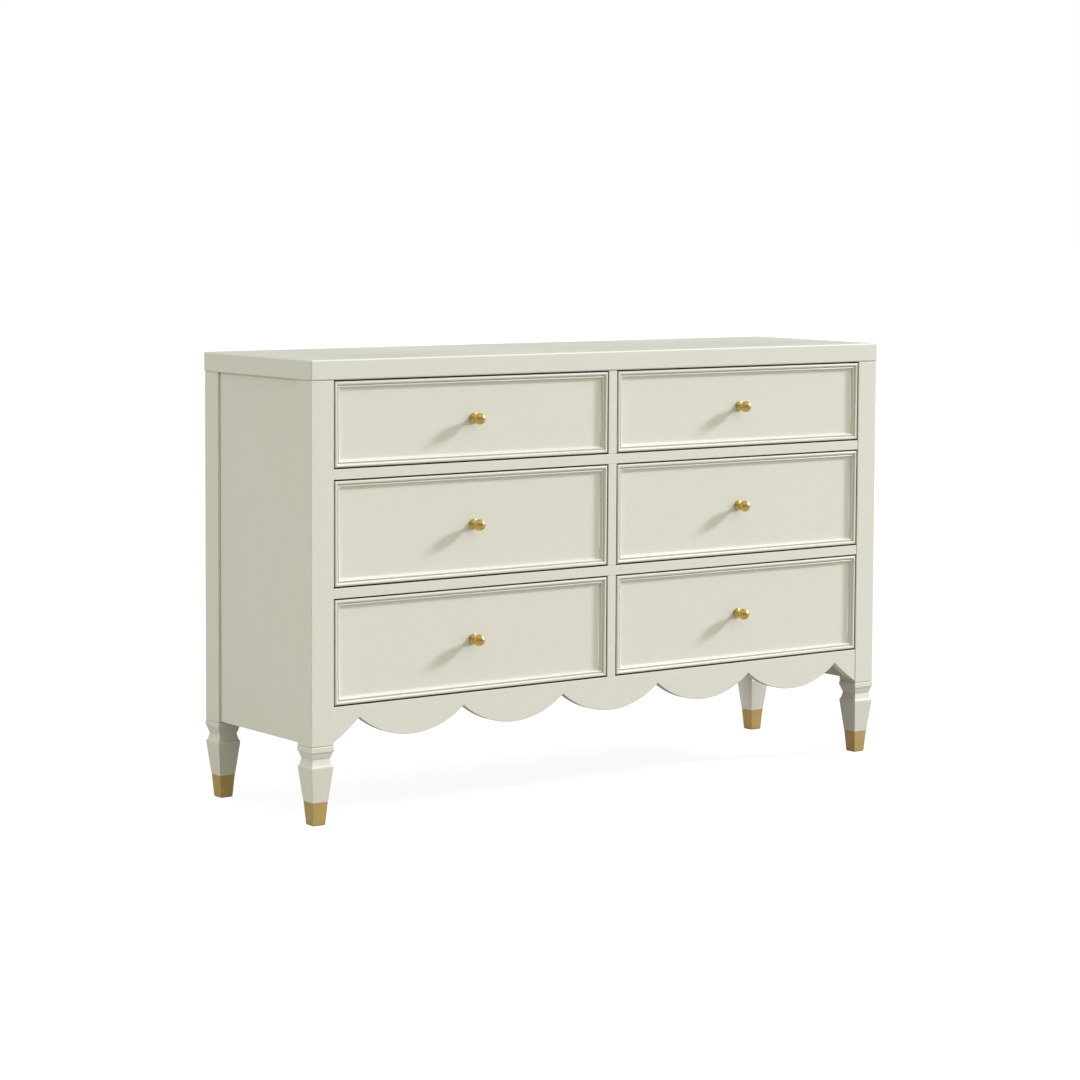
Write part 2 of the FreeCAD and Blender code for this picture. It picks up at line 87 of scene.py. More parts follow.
def sprayed_lacquer():
    """Sprayed film over close-grained wood: a faint grain showing through, a very fine
    orange peel, slow drifts of tone and gloss, and painted shade in joints and quirks."""
    effect, given, out = new_effect(
        "sprayed_lacquer",
        [("Vector", "NodeSocketVector", (0, 0, 0)),
         ("Tone", "NodeSocketColor", (0.8, 0.8, 0.7, 1)),
         ("Deep Tone", "NodeSocketColor", (0.7, 0.7, 0.6, 1)),
         ("Gloss", "NodeSocketFloat", 0.4)],
        [("Color", "NodeSocketColor"), ("Roughness", "NodeSocketFloat"),
         ("Height", "NodeSocketFloat")])
    link = effect.links.new
    stretch = add_node(effect, "ShaderNodeMapping", None, {"Scale": (90, 90, 3.5)})
    link(given.outputs["Vector"], stretch.inputs["Vector"])
    grain = add_node(effect, "ShaderNodeTexNoise", None,
                     {"Scale": 3.0, "Detail": 5.0, "Roughness": 0.6, "Distortion": 0.35})
    link(stretch.outputs["Vector"], grain.inputs["Vector"])
    peel = add_node(effect, "ShaderNodeTexNoise", None,
                    {"Scale": 420.0, "Detail": 2.0, "Roughness": 0.5})
    link(given.outputs["Vector"], peel.inputs["Vector"])
    drift = add_node(effect, "ShaderNodeTexNoise", None,
                     {"Scale": 2.6, "Detail": 3.0, "Roughness": 0.55})
    link(given.outputs["Vector"], drift.inputs["Vector"])
    speck = add_node(effect, "ShaderNodeTexVoronoi", {"feature": "F1"}, {"Scale": 55.0})
    link(given.outputs["Vector"], speck.inputs["Vector"])
    speck_mask = add_node(effect, "ShaderNodeMapRange", None,
                          {"From Min": 0.0, "From Max": 0.045, "To Min": 1.0, "To Max": 0.0})
    link(speck.outputs["Distance"], speck_mask.inputs["Value"])
    tone_mask = add_node(effect, "ShaderNodeMath", {"operation": "MULTIPLY_ADD"}, {1: 0.55})
    link(grain.outputs["Fac"], tone_mask.inputs[0])
    half_drift = add_node(effect, "ShaderNodeMath", {"operation": "MULTIPLY"}, {1: 0.45})
    link(drift.outputs["Fac"], half_drift.inputs[0])
    link(half_drift.outputs["Value"], tone_mask.inputs[2])
    spread = add_node(effect, "ShaderNodeMapRange", None,
                      {"From Min": 0.3, "From Max": 0.75, "To Min": 0.0, "To Max": 1.0})
    link(tone_mask.outputs["Value"], spread.inputs["Value"])
    shade = add_node(effect, "ShaderNodeMix", {"data_type": "RGBA"})
    link(spread.outputs["Result"], shade.inputs["Factor"])
    link(given.outputs["Tone"], shade.inputs["A"])
    link(given.outputs["Deep Tone"], shade.inputs["B"])
    # Painted shade in joints and quirks is mixed into the paint's colour here.
    link(mix_painted_shade(effect, shade.outputs["Result"]), out.inputs["Color"])
    gloss_shift = add_node(effect, "ShaderNodeMapRange", None,
                           {"From Min": 0.3, "From Max": 0.7, "To Min": -0.05, "To Max": 0.07})
    link(drift.outputs["Fac"], gloss_shift.inputs["Value"])
    gloss = add_node(effect, "ShaderNodeMath", {"operation": "ADD"})
    link(given.outputs["Gloss"], gloss.inputs[0])
    link(gloss_shift.outputs["Result"], gloss.inputs[1])
    link(gloss.outputs["Value"], out.inputs["Roughness"])
    relief = add_node(effect, "ShaderNodeMath", {"operation": "MULTIPLY_ADD"}, {1: 0.35})
    link(peel.outputs["Fac"], relief.inputs[0])
    grain_relief = add_node(effect, "ShaderNodeMath", {"operation": "MULTIPLY"}, {1: 0.65})
    link(grain.outputs["Fac"], grain_relief.inputs[0])
    link(grain_relief.outputs["Value"], relief.inputs[2])
    raised = add_node(effect, "ShaderNodeMath", {"operation": "MULTIPLY_ADD"}, {1: 0.5})
    link(speck_mask.outputs["Result"], raised.inputs[0])
    link(relief.outputs["Value"], raised.inputs[2])
    link(raised.outputs["Value"], out.inputs["Height"])
    return effect


lacquer_effect = sprayed_lacquer()
GRAIN_TURNS = {"upright": (0, 0, 0), "across": (0, math.pi / 2, 0), "deep": (math.pi / 2, 0, 0)}


def off_white_lacquer(name, grain_runs):
    """The satin paint, with the wood's grain running upright, across or front to back."""
    paint = bpy.data.materials.new(name)
    paint.use_nodes = True
    tree = paint.node_tree
    shader = tree.nodes["Principled BSDF"]
    shader.inputs["Coat Weight"].default_value = 0.3
    shader.inputs["Coat Roughness"].default_value = 0.18
    place = add_node(tree, "ShaderNodeTexCoord")
    turn = add_node(tree, "ShaderNodeMapping", None, {"Rotation": GRAIN_TURNS[grain_runs]})
    film = add_node(tree, "ShaderNodeGroup", {"node_tree": lacquer_effect},
                    {"Tone": (0.81, 0.785, 0.683, 1), "Deep Tone": (0.785, 0.76, 0.655, 1),
                     "Gloss": 0.38})
    bump = add_node(tree, "ShaderNodeBump", None, {"Strength": 0.22, "Distance": 0.0002})
    link = tree.links.new
    link(place.outputs["Object"], turn.inputs["Vector"])
    link(turn.outputs["Vector"], film.inputs["Vector"])
    link(film.outputs["Color"], shader.inputs["Base Color"])
    link(film.outputs["Roughness"], shader.inputs["Roughness"])
    link(film.outputs["Height"], bump.inputs["Height"])
    link(bump.outputs["Normal"], shader.inputs["Normal"])
    return paint


paint_across = off_white_lacquer("off_white_lacquer_across", "across")
SHARP_ANGLE = math.radians(40)
SAME_POINT = 1e-6


def finish_piece(name, bm, material, body, slot, *nodes):
    """Makes the object, smooths it between its sharp edges, and fixes it to its body."""
    bmesh.ops.remove_doubles(bm, verts=bm.verts, dist=SAME_POINT)
    bmesh.ops.recalc_face_normals(bm, faces=bm.faces)
    for face in bm.faces:
        face.smooth = True
    for edge in bm.edges:
        edge.smooth = edge.calc_face_angle(0.0) < SHARP_ANGLE
    mesh = bpy.data.meshes.new(name)
    bm.to_mesh(mesh)
    bm.free()
    mesh.materials.append(material)
    piece = bpy.data.objects.new(name, mesh)
    bpy.context.scene.collection.objects.link(piece)
    even = piece.modifiers.new("even_shading", "WEIGHTED_NORMAL")
    even.keep_sharp = True
    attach(piece, body)
    if nodes:
        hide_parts(*nodes)
    return piece


def block(low, high):
    """A bmesh box between two corners."""
    bm = bmesh.new()
    size = Vector(high) - Vector(low)
    place = Matrix.Translation((Vector(low) + Vector(high)) / 2) @ Matrix.Diagonal((*size, 1))
    bmesh.ops.create_cube(bm, size=1, matrix=place)
    return bm


def round_edges(bm, radius, segments, edges=None):
    """Rounds the given edges, or all of them."""
    bmesh.ops.bevel(bm, geom=list(bm.edges) if edges is None else edges, offset=radius,
                    offset_type="OFFSET", affect="EDGES", segments=segments, profile=0.5,
                    material=-1, clamp_overlap=True)


TOP_ROUNDING = 0.0035
top = block(*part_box("top_panel"))
round_edges(top, TOP_ROUNDING, 5)
finish_piece("painted_top", top, paint_across, "cabinet", "painted_wood", "top_panel")

# ---- Corner posts -------------------------------------------------------------
# Four square posts of solid hardwood, painted with the rest. The rails, the apron
# and the side panels are dowelled into them. Their long edges are slightly eased.

paint_upright = off_white_lacquer("off_white_lacquer_upright", "upright")
POST_EASING = 0.0016
CORNERS = ("front_left", "front_right", "back_left", "back_right")


def painted_board(name, node, material, easing):
    """A board that fills its node's box, with sanded edges."""
    bm = block(*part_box(node))
    round_edges(bm, easing, 3)
    return finish_piece(name, bm, material, "cabinet", "painted_wood", node)


for corner in CORNERS:
    painted_board("post_" + corner, corner + "_post", paint_upright, POST_EASING)

# ---- Turned legs ----------------------------------------------------------------
# Square legs shaped on a spindle moulder: a collar under each post, a hollow neck,
# a crisp shoulder and a straight taper. A hanger bolt holds each leg to its post.

# Levels above the floor, then half widths of the leg.
LEG_TOP = 0.163
NECK_TOP, NECK_BOTTOM, NECK_LOW = 0.1500, 0.1225, 0.1365
TAPER_TOP, TAPER_MIDDLE = 0.1150, 0.0820
CUP_TOP = 0.048
COLLAR, NECK, SHOULDER, CALF, ANKLE = 0.02725, 0.0211, 0.0265, 0.02245, 0.0183
LEG_FILLET = 0.0022
LEG_ROUNDING = 0.0018
LEG_EASING = 0.0012


def hollow_outline(start, low, end, half_start, half_low, half_end, steps):
    """Half widths down a hollow: a curve in to the narrowest level and a wider one out."""
    inward_power, outward_power = 1.6, 1.25
    rings = []
    for i in range(1, steps + 1):
        turn = math.pi / 2 * i / steps
        level = start - (start - low) * math.sin(turn)
        share = 1 - math.sin(turn) ** inward_power
        rings.append((level, half_low + (half_start - half_low) * share))
    for i in range(1, steps + 1):
        turn = math.pi / 2 * i / steps
        level = low - (low - end) * (1 - math.cos(turn))
        share = (1 - math.cos(turn)) ** outward_power
        rings.append((level, half_low + (half_end - half_low) * share))
    return rings


def rounded_step(level, half, rise, run, steps, outward):
    """A small quarter round between two half widths."""
    rings = []
    for i in range(steps + 1):
        turn = math.pi / 2 * i / steps
        drop = rise * (1 - math.cos(turn)) if outward else rise * math.sin(turn)
        grow = run * math.sin(turn) if outward else -run * (1 - math.cos(turn))
        rings.append((level - drop, half + grow))
    return rings


def leg_outline():
    """(level, half width) from the joint with the post down to the top of the metal cup."""
    rings = [(LEG_TOP, COLLAR - LEG_FILLET)]
    rings += rounded_step(LEG_TOP - 0.0006, COLLAR - LEG_ROUNDING, LEG_ROUNDING, LEG_ROUNDING,
                          4, True)
    rings += rounded_step(NECK_TOP + LEG_FILLET, COLLAR, LEG_FILLET, 0.0014, 4, False)
    rings += hollow_outline(NECK_TOP, NECK_LOW, NECK_BOTTOM, COLLAR - LEG_FILLET, NECK,
                            SHOULDER - LEG_FILLET, 9)
    rings += rounded_step(NECK_BOTTOM - 0.0004, SHOULDER - LEG_ROUNDING, 0.0035, LEG_ROUNDING,
                          5, True)
    rings += [(TAPER_TOP, SHOULDER - 0.0002), (TAPER_MIDDLE, CALF), (CUP_TOP, ANKLE)]
    return rings


def square_turning(outline, centre, corner_radius):
    """Square rings with rounded corners, drawn down an outline of (level, half width)."""
    bm = bmesh.new()
    level, half = outline[0]
    bmesh.ops.create_grid(bm, x_segments=1, y_segments=1, size=half,
                          matrix=Matrix.Translation((*centre, level)))
    bmesh.ops.bevel(bm, geom=list(bm.verts), offset=corner_radius, offset_type="OFFSET",
                    affect="VERTICES", segments=3, profile=0.5, material=-1)
    face = bm.faces[:][0]
    about_centre = Matrix.Translation((-centre[0], -centre[1], 0))
    for next_level, next_half in outline[1:]:
        face = bmesh.ops.extrude_discrete_faces(bm, faces=[face])["faces"][0]
        verts = list(face.verts)
        bmesh.ops.translate(bm, verts=verts, vec=(0, 0, next_level - level))
        share = next_half / half
        bmesh.ops.scale(bm, verts=verts, vec=(share, share, 1), space=about_centre)
        level, half = next_level, next_half
    bmesh.ops.holes_fill(bm, edges=list(bm.edges))
    return bm


def centre_of(node):
    """The (x, y) centre of a node's box."""
    low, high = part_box(node)
    return ((low.x + high.x) / 2, (low.y + high.y) / 2)


for corner in CORNERS:
    leg = square_turning(leg_outline(), centre_of(corner + "_post"), LEG_EASING)
    finish_piece("leg_" + corner, leg, paint_upright, "cabinet", "painted_wood", corner + "_leg")

# ---- Metal cups ------------------------------------------------------------------
# A thin drawn brass cup is pressed over the foot of each leg. Its faces are lightly
# brushed and lacquered, so it stays matt.


def worked_metal():
    """Fine streaks along one direction, small scratches and a slow change of tone, with painted shade in
    joints and corners.
    """
    effect, given, out = new_effect(
        "worked_metal",
        [("Vector", "NodeSocketVector", (0, 0, 0)),
         ("Tone", "NodeSocketColor", (0.8, 0.6, 0.3, 1)),
         ("Deep Tone", "NodeSocketColor", (0.6, 0.4, 0.2, 1)),
         ("Roughness", "NodeSocketFloat", 0.3), ("Roughness Swing", "NodeSocketFloat", 0.1)],
        [("Color", "NodeSocketColor"), ("Roughness", "NodeSocketFloat"),
         ("Height", "NodeSocketFloat")])
    link = effect.links.new
    stretch = add_node(effect, "ShaderNodeMapping", None, {"Scale": (900, 900, 14)})
    link(given.outputs["Vector"], stretch.inputs["Vector"])
    streak = add_node(effect, "ShaderNodeTexNoise", None,
                      {"Scale": 1.0, "Detail": 3.0, "Roughness": 0.6})
    link(stretch.outputs["Vector"], streak.inputs["Vector"])
    cloud = add_node(effect, "ShaderNodeTexNoise", None,
                     {"Scale": 38.0, "Detail": 4.0, "Roughness": 0.6})
    link(given.outputs["Vector"], cloud.inputs["Vector"])
    mask = add_node(effect, "ShaderNodeMapRange", None,
                    {"From Min": 0.35, "From Max": 0.7, "To Min": 0.0, "To Max": 1.0})
    link(cloud.outputs["Fac"], mask.inputs["Value"])
    shade = add_node(effect, "ShaderNodeMix", {"data_type": "RGBA"})
    link(mask.outputs["Result"], shade.inputs["Factor"])
    link(given.outputs["Tone"], shade.inputs["A"])
    link(given.outputs["Deep Tone"], shade.inputs["B"])
    # Painted shade in joints and corners is mixed into the metal's colour here.
    link(mix_painted_shade(effect, shade.outputs["Result"]), out.inputs["Color"])
    both = add_node(effect, "ShaderNodeMath", {"operation": "ADD"})
    link(streak.outputs["Fac"], both.inputs[0])
    link(cloud.outputs["Fac"], both.inputs[1])
    centred = add_node(effect, "ShaderNodeMath", {"operation": "SUBTRACT"}, {1: 1.0})
    link(both.outputs["Value"], centred.inputs[0])
    rough = add_node(effect, "ShaderNodeMath", {"operation": "MULTIPLY_ADD"})
    link(centred.outputs["Value"], rough.inputs[0])
    link(given.outputs["Roughness Swing"], rough.inputs[1])
    link(given.outputs["Roughness"], rough.inputs[2])
    link(rough.outputs["Value"], out.inputs["Roughness"])
    link(streak.outputs["Fac"], out.inputs["Height"])
    return effect


metal_effect = worked_metal()


def metal(name, tone, deep_tone, roughness, swing, relief, turn=(0, 0, 0), metallic=1.0):
    """A metal finish; turn sets the direction of its brushing, and a metallic value below
    one mixes in a matt, even share."""
    finish = bpy.data.materials.new(name)
    finish.use_nodes = True
    tree = finish.node_tree
    shader = tree.nodes["Principled BSDF"]
    shader.inputs["Metallic"].default_value = metallic
    place = add_node(tree, "ShaderNodeTexCoord")
    turned = add_node(tree, "ShaderNodeMapping", None, {"Rotation": turn})
    surface = add_node(tree, "ShaderNodeGroup", {"node_tree": metal_effect},
                       {"Tone": (*tone, 1), "Deep Tone": (*deep_tone, 1),
                        "Roughness": roughness, "Roughness Swing": swing})
    bump = add_node(tree, "ShaderNodeBump", None, {"Strength": relief, "Distance": 0.0001})
    link = tree.links.new
    link(place.outputs["Object"], turned.inputs["Vector"])
    link(turned.outputs["Vector"], surface.inputs["Vector"])
    link(surface.outputs["Color"], shader.inputs["Base Color"])
    link(surface.outputs["Roughness"], shader.inputs["Roughness"])
    link(surface.outputs["Height"], bump.inputs["Height"])
    link(bump.outputs["Normal"], shader.inputs["Normal"])
    return finish


cup_brass = metal("satin_brass_plate", (0.64, 0.45, 0.165), (0.57, 0.40, 0.14), 0.46, 0.12, 0.12,
                  metallic=0.45)
CUP_OUTLINE = [(CUP_TOP, 0.0176), (CUP_TOP - 0.0004, 0.0179), (0.0300, 0.0165), (0.0090, 0.01485),
               (0.0040, 0.01445), (0.0016, 0.01405), (0.0004, 0.01345), (0.0, 0.0128)]
CUP_EASING = 0.0008

# One node of the frame holds all four cups, so only the first piece replaces it.
for corner in CORNERS:
    cup = square_turning(CUP_OUTLINE, centre_of(corner + "_post"), CUP_EASING)
    nodes = ["leg_cups"] if corner == "front_left" else []
    finish_piece("leg_cup_" + corner, cup, cup_brass, "cabinet", "satin_brass", *nodes)

# ---- Side panels -------------------------------------------------------------------
# A flat veneered panel at each end, painted, let in between the posts and set back
# a few millimetres from their faces.

PANEL_EASING = 0.0006
for side in ("left", "right"):
    painted_board("end_panel_" + side, side + "_side_panel", paint_upright, PANEL_EASING)

# ---- Face rails and stiles -----------------------------------------------------------
# Two rails run from post to post between the rows of drawers, and three short
# stiles are butted between them. The joints show as hair lines through the paint.

RAIL_EASING = 0.0011
for rail in ("upper_rail", "lower_rail"):
    painted_board("face_" + rail, rail, paint_across, RAIL_EASING)

rail_lows = [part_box("scalloped_apron")[1].z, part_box("lower_rail")[1].z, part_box("upper_rail")[1].z]
rail_highs = [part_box("lower_rail")[0].z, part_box("upper_rail")[0].z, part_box("top_panel")[0].z]
stile_low, stile_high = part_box("centre_stiles")
# One node of the frame holds all three stiles, so only the lowest piece replaces it.
for name, low_z, high_z in zip(("low", "middle", "high"), rail_lows, rail_highs):
    stile = block((stile_low.x, stile_low.y, low_z), (stile_high.x, stile_high.y, high_z))
    round_edges(stile, RAIL_EASING, 3)
    nodes = ["centre_stiles"] if name == "low" else []
    finish_piece("stile_" + name, stile, paint_upright, "cabinet", "painted_wood", *nodes)

# ---- Scalloped apron -------------------------------------------------------------------
# A board band-sawn to a row of round scallops, sanded and painted. At each end a
# half scallop falls to the front post.

SCALLOP_WIDTH = 0.258
CUSP_LEVEL = 0.2145
SCALLOP_COUNT = 5
SCALLOP_STEPS = 28
END_BOW = 0.0022
APRON_EASING = 0.0012


def spin_point(bm, vert, centre, angle, steps):
    """Draws an arc of edges from a point about a centre, and returns its far end."""
    arc = bmesh.ops.spin(bm, geom=[vert], cent=centre, axis=(0, 1, 0), dvec=(0, 0, 0),
                         angle=angle, steps=steps, use_duplicate=False)
    return [item for item in arc["geom_last"] if isinstance(item, bmesh.types.BMVert)][0]


def scalloped_board():
    """The apron: the scallops' arcs and the two ends, closed at the top and given its depth."""
    low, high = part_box("scalloped_apron")
    drop = CUSP_LEVEL - low.z
    radius = (drop ** 2 + (SCALLOP_WIDTH / 2) ** 2) / (2 * drop)
    half_angle = math.asin(SCALLOP_WIDTH / 2 / radius)
    bm = bmesh.new()
    first = bm.verts.new((-SCALLOP_COUNT / 2 * SCALLOP_WIDTH, low.y, CUSP_LEVEL))
    vert = first
    for i in range(SCALLOP_COUNT):
        middle = (i - (SCALLOP_COUNT - 1) / 2) * SCALLOP_WIDTH
        vert = spin_point(bm, vert, (middle, low.y, low.z + radius), -2 * half_angle,
                          SCALLOP_STEPS)
    last = vert
    ends = {}
    for side, cusp in ((-1, first), (1, last)):
        wall = high.x * side
        run = abs(wall) - abs(cusp.co.x)
        foot = bm.verts.new((wall, low.y, low.z))
        chord = math.hypot(run, drop)
        arc_radius = (END_BOW ** 2 + (chord / 2) ** 2) / (2 * END_BOW)
        middle = (cusp.co + foot.co) / 2
        inward = Vector((-side * drop, 0, -run)).normalized() * -1
        centre = middle + inward * (arc_radius - END_BOW)
        ends[side] = (foot, cusp, centre, 2 * math.asin(chord / 2 / arc_radius))
    for side, (foot, cusp, centre, angle) in ends.items():
        tip = spin_point(bm, cusp, centre, -angle * side, 6)
        bmesh.ops.weld_verts(bm, targetmap={tip: foot})
    shoulders = [bm.verts.new((high.x * side, low.y, high.z)) for side in (-1, 1)]
    bm.edges.new((ends[-1][0], shoulders[0]))
    bm.edges.new((shoulders[0], shoulders[1]))
    bm.edges.new((shoulders[1], ends[1][0]))
    face = bmesh.ops.contextual_create(bm, geom=list(bm.edges))["faces"][0]
    made = bmesh.ops.extrude_face_region(bm, geom=[face])["geom"]
    back = [item for item in made if isinstance(item, bmesh.types.BMVert)]
    bmesh.ops.translate(bm, verts=back, vec=(0, high.y - low.y, 0))
    bmesh.ops.recalc_face_normals(bm, faces=bm.faces)
    rims = [edge for edge in bm.edges
            if abs(edge.verts[0].co.y - edge.verts[1].co.y) < SAME_POINT]
    round_edges(bm, APRON_EASING, 3, rims)
    return bm


finish_piece("apron_scalloped", scalloped_board(), paint_across, "cabinet", "painted_wood",
             "scalloped_apron")

# ---- Drawer fronts ---------------------------------------------------------------------
# Each front is a painted board with a moulding mitred round its edge: a broad outer
# round, a quirk, a small inner bead and a hollow that runs down to the sunk panel.

PANEL_DEPTH = 0.0085
ROUND_RADIUS = 0.0034
FRONT_EASING = 0.0008


def arc_points(centre, radius, start, end, steps):
    """(inset, depth) points of an arc; angles in degrees from the inward direction,
    turning towards the room."""
    points = []
    for i in range(steps + 1):
        turn = math.radians(start + (end - start) * i / steps)
        points.append((centre[0] + radius * math.cos(turn), centre[1] - radius * math.sin(turn)))
    return points


def moulding_outline():
    """(inset, depth) from the edge of the front to the flat panel, in metres."""
    mm = 0.001
    rise = arc_points((ROUND_RADIUS, ROUND_RADIUS), ROUND_RADIUS, 180, 90, 7)
    fall = [(4.4, 0.15), (5.3, 0.55), (6.1, 1.2), (6.8, 2.1), (7.3, 3.1), (7.7, 4.0)]
    quirk = [(7.9, 4.5), (8.3, 4.5)]
    small_bead = [(8.6, 3.7), (9.2, 3.0), (10.0, 2.7), (10.9, 2.8), (11.7, 3.4), (12.3, 4.4)]
    hollow = [(12.7, 5.6), (13.3, 6.8), (14.2, 7.6), (15.6, 8.1), (17.4, 8.4)]
    shaped = [(inset * mm, depth * mm) for inset, depth in fall + quirk + small_bead + hollow]
    return rise + shaped + [(19.2 * mm, PANEL_DEPTH)]


def drawer_front(name):
    """Insets the room face step by step along the moulding's outline."""
    low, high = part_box(name + "_front")
    outline = moulding_outline()
    bm = block((low.x, low.y + outline[0][1], low.z), high)
    face = min(bm.faces, key=lambda item: item.calc_center_median().y)
    inset, depth = outline[0]
    for next_inset, next_depth in outline[1:]:
        bmesh.ops.inset_region(bm, faces=[face], thickness=next_inset - inset,
                               depth=depth - next_depth, use_boundary=True,
                               use_even_offset=True)
        inset, depth = next_inset, next_depth
    back_rim = [edge for edge in bm.edges
                if min(vert.co.y for vert in edge.verts) > high.y - SAME_POINT]
    round_edges(bm, FRONT_EASING, 2, back_rim)
    return finish_piece("front_" + name, bm, paint_across, name + "_drawer", "painted_wood",
                        name + "_front")


DRAWERS = [row + "_" + side for row in ("upper", "middle", "lower") for side in ("left", "right")]
for drawer in DRAWERS:
    drawer_front(drawer)

# ---- Knobs ---------------------------------------------------------------------------------
# A turned and polished brass ball on a slim neck, with a stepped rose against the
# panel. A machine screw through the front holds it from inside the drawer.

polished_brass = metal("polished_brass", (0.72, 0.51, 0.155), (0.64, 0.44, 0.13), 0.32, 0.08, 0.03,
                       (math.pi / 2, 0, 0))
screw_steel = metal("bright_zinc", (0.66, 0.67, 0.69), (0.56, 0.57, 0.6), 0.33, 0.12, 0.08,
                    (math.pi / 2, 0, 0))
BALL_RADIUS = 0.01225
BALL_OUT = 0.02225


def knob_outline():
    """(radius, distance out from the panel) from the wall to the front of the ball."""
    mm = 0.001
    rose = [(10.4, 0.0), (11.0, 0.5), (11.0, 1.3), (10.7, 1.9), (10.1, 2.3), (9.2, 2.5),
            (8.6, 2.6), (8.3, 3.1)]
    dome = [(7.9, 3.7), (7.2, 4.3), (6.3, 4.8), (5.4, 5.3)]
    neck = [(4.8, 6.0), (4.4, 7.0), (4.2, 8.2), (4.25, 9.2), (4.5, 10.0), (4.9, 10.6)]
    ball_mouth = 5.2 * mm
    start = math.asin(ball_mouth / BALL_RADIUS)
    steps = 26
    ball = []
    for i in range(steps + 1):
        turn = start + (math.pi - start) * i / steps
        ball.append((BALL_RADIUS * math.sin(turn), BALL_OUT - BALL_RADIUS * math.cos(turn)))
    return [(radius * mm, out * mm) for radius, out in rose + dome + neck] + ball


def spun_piece(outline, x, wall_y, z, steps):
    """Turns an outline of (radius, distance out) about an axis that points at the room."""
    bm = bmesh.new()
    verts = [bm.verts.new((x + radius, wall_y - out, z)) for radius, out in outline]
    edges = [bm.edges.new(pair) for pair in zip(verts, verts[1:])]
    bmesh.ops.spin(bm, geom=verts + edges, cent=(x, wall_y, z), axis=(0, 1, 0),
                   dvec=(0, 0, 0), angle=2 * math.pi, steps=steps, use_merge=True)
    bmesh.ops.remove_doubles(bm, verts=bm.verts, dist=SAME_POINT)
    bmesh.ops.holes_fill(bm, edges=list(bm.edges))
    return bm


def screw_outline():
    """(radius, distance out from the back of the front): shank, pan head and its recess."""
    mm = 0.001
    points = [(1.9, 11.0), (1.9, 0.0), (4.4, 0.0), (4.4, -0.9), (4.0, -1.7), (3.0, -2.2),
              (1.4, -2.4), (1.2, -1.2), (0.0, -1.2)]
    return [(radius * mm, out * mm) for radius, out in points]


def knob(name):
    """The knob on the middle of a drawer's panel, and the screw that holds it."""
    low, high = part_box(name + "_front")
    x, z = (low.x + high.x) / 2, (low.z + high.z) / 2
    panel = low.y + PANEL_DEPTH
    ball = spun_piece(knob_outline(), x, panel, z, 48)
    finish_piece("knob_" + name, ball, polished_brass, name + "_drawer", "polished_brass",
                 name + "_knob")
    screw = spun_piece(screw_outline(), x, high.y, z, 24)
    finish_piece("knob_screw_" + name, screw, screw_steel, name + "_drawer", "zinc_steel")


for drawer in DRAWERS:
    knob(drawer)

# ---- Drawer boxes and carcass -----------------------------------------------------------
# Lacquered birch drawer boxes, veneered inner boards, planed softwood battens and
# rails, a back sprayed off-white, and zinc-plated slides and screws. With the drawers
# shut, none of it shows from the front.


def sawn_wood():
    """Growth rings cut lengthwise, with pores, for boards with a clear finish."""
    effect, given, out = new_effect(
        "sawn_wood",
        [("Vector", "NodeSocketVector", (0, 0, 0)),
         ("Early Wood", "NodeSocketColor", (0.75, 0.6, 0.4, 1)),
         ("Late Wood", "NodeSocketColor", (0.6, 0.45, 0.3, 1)),
         ("Ring Scale", "NodeSocketFloat", 14.0), ("Gloss", "NodeSocketFloat", 0.45)],
        [("Color", "NodeSocketColor"), ("Roughness", "NodeSocketFloat"),
         ("Height", "NodeSocketFloat")])
    link = effect.links.new
    stretch = add_node(effect, "ShaderNodeMapping", None, {"Scale": (1.0, 1.0, 0.09)})
    link(given.outputs["Vector"], stretch.inputs["Vector"])
    rings = add_node(effect, "ShaderNodeTexWave", {"wave_type": "BANDS", "bands_direction": "X"},
                     {"Distortion": 7.0, "Detail": 3.0, "Detail Scale": 1.6, "Detail Roughness": 0.6})
    link(stretch.outputs["Vector"], rings.inputs["Vector"])
    link(given.outputs["Ring Scale"], rings.inputs["Scale"])
    fine = add_node(effect, "ShaderNodeMapping", None, {"Scale": (700, 700, 18)})
    link(given.outputs["Vector"], fine.inputs["Vector"])
    pores = add_node(effect, "ShaderNodeTexNoise", None, {"Scale": 1.0, "Detail": 4.0, "Roughness": 0.65})
    link(fine.outputs["Vector"], pores.inputs["Vector"])
    mixed = add_node(effect, "ShaderNodeMath", {"operation": "MULTIPLY_ADD"}, {1: 0.6})
    link(pores.outputs["Fac"], mixed.inputs[0])
    ring_part = add_node(effect, "ShaderNodeMath", {"operation": "MULTIPLY"}, {1: 0.4})
    link(rings.outputs["Fac"], ring_part.inputs[0])
    link(ring_part.outputs["Value"], mixed.inputs[2])
    shade = add_node(effect, "ShaderNodeMix", {"data_type": "RGBA"})
    link(mixed.outputs["Value"], shade.inputs["Factor"])
    link(given.outputs["Early Wood"], shade.inputs["A"])
    link(given.outputs["Late Wood"], shade.inputs["B"])
    link(shade.outputs["Result"], out.inputs["Color"])
    rough = add_node(effect, "ShaderNodeMath", {"operation": "MULTIPLY_ADD"}, {1: 0.14})
    link(pores.outputs["Fac"], rough.inputs[0])
    link(given.outputs["Gloss"], rough.inputs[2])
    link(rough.outputs["Value"], out.inputs["Roughness"])
    link(mixed.outputs["Value"], out.inputs["Height"])
    return effect


wood_effect = sawn_wood()


